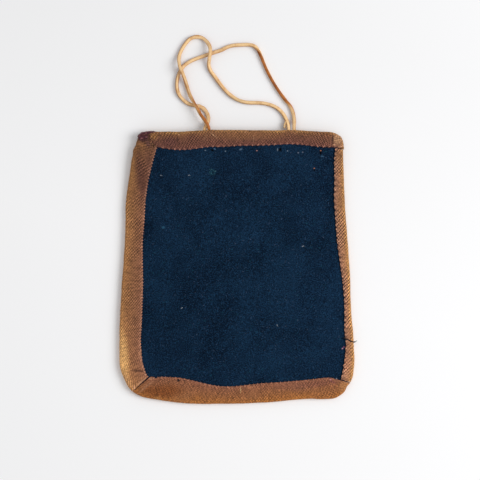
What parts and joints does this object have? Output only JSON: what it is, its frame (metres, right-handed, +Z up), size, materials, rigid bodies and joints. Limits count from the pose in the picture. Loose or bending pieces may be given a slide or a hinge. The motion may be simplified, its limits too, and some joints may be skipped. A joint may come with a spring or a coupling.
{
  "type": "flat beaded bag",
  "caption": "Flat handmade bag lying on its beaded hide face: wool back, twill bindings round the closed edges and the lips of the open mouth, loose thong handles.",
  "frame": {"origin": "on the surface that the bag lies on, under the middle of the bag without its thongs", "axes": "+Y along the bag's height towards the open mouth, +X across it to the right with the wool back seen, +Z up out of the wool back"},
  "size_m": [0.2518, 0.3941, 0.0128],
  "materials": {
    "wool_cloth": "napped wool",
    "tanned_hide": "soft suede",
    "seed_beads": "glossy opaque",
    "twill_binding": "worn ribbed twill",
    "hide_thong": "matt"
  },
  "bodies": {
    "root": {"back_panel": "wool_cloth", "front_panel": "tanned_hide", "beadwork": "seed_beads", "left_binding": "twill_binding", "right_binding": "twill_binding", "bottom_binding": "twill_binding", "back_mouth_binding": "twill_binding", "front_mouth_binding": "twill_binding", "thong_a": "hide_thong", "thong_b": "hide_thong"}
  },
  "joints": []
}
